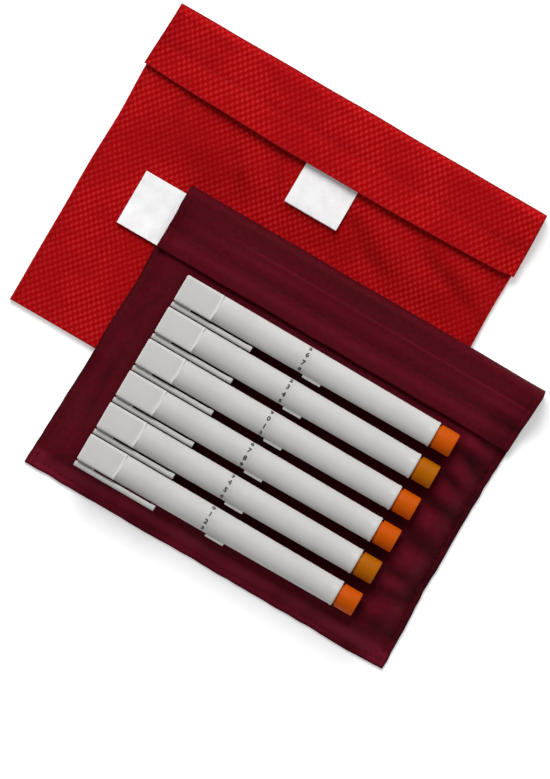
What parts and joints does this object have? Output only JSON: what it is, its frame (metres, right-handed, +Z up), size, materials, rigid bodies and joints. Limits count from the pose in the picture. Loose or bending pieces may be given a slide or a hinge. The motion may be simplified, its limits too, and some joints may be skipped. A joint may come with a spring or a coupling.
{
  "type": "insulin cooling case",
  "caption": "Evaporative cooling case for insulin pens: a padded inner pouch and a woven outer pouch with fold-over flaps, with capped push-button pens laid on the inner one.",
  "frame": {"origin": "centre of the object's bounding box, at the table that the pouches lie on", "axes": "+X along the pens from cap to button, +Y towards the pouches' folded tops, +Z up from the table"},
  "size_m": [0.2616, 0.2428, 0.0283],
  "materials": {
    "red_cloth": "woven mesh",
    "strip_cloth": "hook and loop",
    "maroon_cloth": "fine plain weave",
    "lining_cloth": "fine plain weave",
    "label_cloth": "satin weave",
    "cooling_gel": "soft gel granules",
    "pen_plastic": "satin moulded",
    "clear_plastic": "clear moulded",
    "cartridge_glass": "clear",
    "stopper_rubber": "matte",
    "rod_plastic": "moulded",
    "orange_plastic": "satin moulded",
    "amber_plastic": "satin moulded"
  },
  "bodies": {
    "outer_pouch": {"outer_back_panel": "red_cloth", "outer_fold": "red_cloth", "outer_front_panel": "red_cloth", "outer_loop_strip": "strip_cloth"},
    "outer_flap": {"outer_flap": "red_cloth", "outer_hook_strip": "strip_cloth", "outer_label": "label_cloth"},
    "inner_pouch": {"inner_back_cloth": "maroon_cloth", "inner_back_gel": "cooling_gel", "inner_back_lining": "lining_cloth", "inner_front_lining": "lining_cloth", "inner_front_gel": "cooling_gel", "inner_front_cloth": "maroon_cloth", "inner_fold": "maroon_cloth"},
    "inner_flap": {"inner_flap": "maroon_cloth", "inner_label": "label_cloth"},
    "pen_1": {"pen_1_holder": "clear_plastic", "pen_1_cartridge": "cartridge_glass"},
    "pen_1_cap": {"pen_1_cap": "pen_plastic"},
    "pen_1_barrel": {"pen_1_barrel": "pen_plastic"},
    "pen_1_button": {"pen_1_button": "orange_plastic"},
    "pen_1_rod": {"pen_1_stopper": "stopper_rubber", "pen_1_rod": "rod_plastic"},
    "pen_2": {"pen_2_holder": "clear_plastic", "pen_2_cartridge": "cartridge_glass"},
    "pen_2_cap": {"pen_2_cap": "pen_plastic"},
    "pen_2_barrel": {"pen_2_barrel": "pen_plastic"},
    "pen_2_button": {"pen_2_button": "amber_plastic"},
    "pen_2_rod": {"pen_2_stopper": "stopper_rubber", "pen_2_rod": "rod_plastic"},
    "pen_3": {"pen_3_holder": "clear_plastic", "pen_3_cartridge": "cartridge_glass"},
    "pen_3_cap": {"pen_3_cap": "pen_plastic"},
    "pen_3_barrel": {"pen_3_barrel": "pen_plastic"},
    "pen_3_button": {"pen_3_button": "orange_plastic"},
    "pen_3_rod": {"pen_3_stopper": "stopper_rubber", "pen_3_rod": "rod_plastic"},
    "pen_4": {"pen_4_holder": "clear_plastic", "pen_4_cartridge": "cartridge_glass"},
    "pen_4_cap": {"pen_4_cap": "pen_plastic"},
    "pen_4_barrel": {"pen_4_barrel": "pen_plastic"},
    "pen_4_button": {"pen_4_button": "orange_plastic"},
    "pen_4_rod": {"pen_4_stopper": "stopper_rubber", "pen_4_rod": "rod_plastic"},
    "pen_5": {"pen_5_holder": "clear_plastic", "pen_5_cartridge": "cartridge_glass"},
    "pen_5_cap": {"pen_5_cap": "pen_plastic"},
    "pen_5_barrel": {"pen_5_barrel": "pen_plastic"},
    "pen_5_button": {"pen_5_button": "amber_plastic"},
    "pen_5_rod": {"pen_5_stopper": "stopper_rubber", "pen_5_rod": "rod_plastic"},
    "pen_6": {"pen_6_holder": "clear_plastic", "pen_6_cartridge": "cartridge_glass"},
    "pen_6_cap": {"pen_6_cap": "pen_plastic"},
    "pen_6_barrel": {"pen_6_barrel": "pen_plastic"},
    "pen_6_button": {"pen_6_button": "orange_plastic"},
    "pen_6_rod": {"pen_6_stopper": "stopper_rubber", "pen_6_rod": "rod_plastic"}
  },
  "joints": [
    {"name": "outer_flap_open", "type": "hinge", "parent": "outer_pouch", "child": "outer_flap", "pos_m": [0, 0.1164, 0.0055], "axis": [-1, 0, 0], "range_deg": [0, 170], "deforming": ["outer_fold"]},
    {"name": "inner_pouch_lift", "type": "slide", "parent": "outer_pouch", "child": "inner_pouch", "axis": [0, 0, 1], "range_m": [0, 0.05]},
    {"name": "inner_flap_open", "type": "hinge", "parent": "inner_pouch", "child": "inner_flap", "pos_m": [0.0245, 0.0391, 0.00945], "axis": [-1, 0, 0], "range_deg": [0, 160], "deforming": ["inner_fold"]},
    {"name": "pen_1_lift", "type": "slide", "parent": "inner_pouch", "child": "pen_1", "axis": [0, 0, 1], "range_m": [0, 0.03]},
    {"name": "pen_1_cap_pull", "type": "slide", "parent": "pen_1", "child": "pen_1_cap", "axis": [-1, 0, 0], "range_m": [0, 0.075]},
    {"name": "pen_1_dose_turn", "type": "hinge", "parent": "pen_1", "child": "pen_1_barrel", "pos_m": [0.023, -0.00425, 0.0209], "axis": [-1, 0, 0], "range_deg": [0, 216]},
    {"name": "pen_1_button_travel", "type": "slide", "parent": "pen_1_barrel", "child": "pen_1_button", "axis": [1, 0, 0], "range_m": [0, 0.0105]},
    {"name": "pen_1_rod_feed", "type": "slide", "parent": "pen_1", "child": "pen_1_rod", "axis": [1, 0, 0], "range_m": [0, 0.0035]},
    {"name": "pen_2_lift", "type": "slide", "parent": "inner_pouch", "child": "pen_2", "axis": [0, 0, 1], "range_m": [0, 0.03]},
    {"name": "pen_2_cap_pull", "type": "slide", "parent": "pen_2", "child": "pen_2_cap", "axis": [-1, 0, 0], "range_m": [0, 0.075]},
    {"name": "pen_2_dose_turn", "type": "hinge", "parent": "pen_2", "child": "pen_2_barrel", "pos_m": [0.0226, -0.0232, 0.0209], "axis": [-1, 0, 0], "range_deg": [0, 216]},
    {"name": "pen_2_button_travel", "type": "slide", "parent": "pen_2_barrel", "child": "pen_2_button", "axis": [1, 0, 0], "range_m": [0, 0.0105]},
    {"name": "pen_2_rod_feed", "type": "slide", "parent": "pen_2", "child": "pen_2_rod", "axis": [1, 0, 0], "range_m": [0, 0.0035]},
    {"name": "pen_3_lift", "type": "slide", "parent": "inner_pouch", "child": "pen_3", "axis": [0, 0, 1], "range_m": [0, 0.03]},
    {"name": "pen_3_cap_pull", "type": "slide", "parent": "pen_3", "child": "pen_3_cap", "axis": [-1, 0, 0], "range_m": [0, 0.075]},
    {"name": "pen_3_dose_turn", "type": "hinge", "parent": "pen_3", "child": "pen_3_barrel", "pos_m": [0.0222, -0.04215, 0.0209], "axis": [-1, 0, 0], "range_deg": [0, 216]},
    {"name": "pen_3_button_travel", "type": "slide", "parent": "pen_3_barrel", "child": "pen_3_button", "axis": [1, 0, 0], "range_m": [0, 0.0105]},
    {"name": "pen_3_rod_feed", "type": "slide", "parent": "pen_3", "child": "pen_3_rod", "axis": [1, 0, 0], "range_m": [0, 0.0035]},
    {"name": "pen_4_lift", "type": "slide", "parent": "inner_pouch", "child": "pen_4", "axis": [0, 0, 1], "range_m": [0, 0.03]},
    {"name": "pen_4_cap_pull", "type": "slide", "parent": "pen_4", "child": "pen_4_cap", "axis": [-1, 0, 0], "range_m": [0, 0.075]},
    {"name": "pen_4_dose_turn", "type": "hinge", "parent": "pen_4", "child": "pen_4_barrel", "pos_m": [0.0218, -0.0611, 0.0209], "axis": [-1, 0, 0], "range_deg": [0, 216]},
    {"name": "pen_4_button_travel", "type": "slide", "parent": "pen_4_barrel", "child": "pen_4_button", "axis": [1, 0, 0], "range_m": [0, 0.0105]},
    {"name": "pen_4_rod_feed", "type": "slide", "parent": "pen_4", "child": "pen_4_rod", "axis": [1, 0, 0], "range_m": [0, 0.0035]},
    {"name": "pen_5_lift", "type": "slide", "parent": "inner_pouch", "child": "pen_5", "axis": [0, 0, 1], "range_m": [0, 0.03]},
    {"name": "pen_5_cap_pull", "type": "slide", "parent": "pen_5", "child": "pen_5_cap", "axis": [-1, 0, 0], "range_m": [0, 0.075]},
    {"name": "pen_5_dose_turn", "type": "hinge", "parent": "pen_5", "child": "pen_5_barrel", "pos_m": [0.0214, -0.08005, 0.0209], "axis": [-1, 0, 0], "range_deg": [0, 216]},
    {"name": "pen_5_button_travel", "type": "slide", "parent": "pen_5_barrel", "child": "pen_5_button", "axis": [1, 0, 0], "range_m": [0, 0.0105]},
    {"name": "pen_5_rod_feed", "type": "slide", "parent": "pen_5", "child": "pen_5_rod", "axis": [1, 0, 0], "range_m": [0, 0.0035]},
    {"name": "pen_6_lift", "type": "slide", "parent": "inner_pouch", "child": "pen_6", "axis": [0, 0, 1], "range_m": [0, 0.03]},
    {"name": "pen_6_cap_pull", "type": "slide", "parent": "pen_6", "child": "pen_6_cap", "axis": [-1, 0, 0], "range_m": [0, 0.075]},
    {"name": "pen_6_dose_turn", "type": "hinge", "parent": "pen_6", "child": "pen_6_barrel", "pos_m": [0.021, -0.099, 0.0209], "axis": [-1, 0, 0], "range_deg": [0, 216]},
    {"name": "pen_6_button_travel", "type": "slide", "parent": "pen_6_barrel", "child": "pen_6_button", "axis": [1, 0, 0], "range_m": [0, 0.0105]},
    {"name": "pen_6_rod_feed", "type": "slide", "parent": "pen_6", "child": "pen_6_rod", "axis": [1, 0, 0], "range_m": [0, 0.0035]}
  ],
  "couplings": [
    {"joint": "pen_1_rod_feed", "follows": "pen_1_button_travel", "ratio": 0.33333},
    {"joint": "pen_2_rod_feed", "follows": "pen_2_button_travel", "ratio": 0.33333},
    {"joint": "pen_3_rod_feed", "follows": "pen_3_button_travel", "ratio": 0.33333},
    {"joint": "pen_4_rod_feed", "follows": "pen_4_button_travel", "ratio": 0.33333},
    {"joint": "pen_5_rod_feed", "follows": "pen_5_button_travel", "ratio": 0.33333},
    {"joint": "pen_6_rod_feed", "follows": "pen_6_button_travel", "ratio": 0.33333}
  ]
}
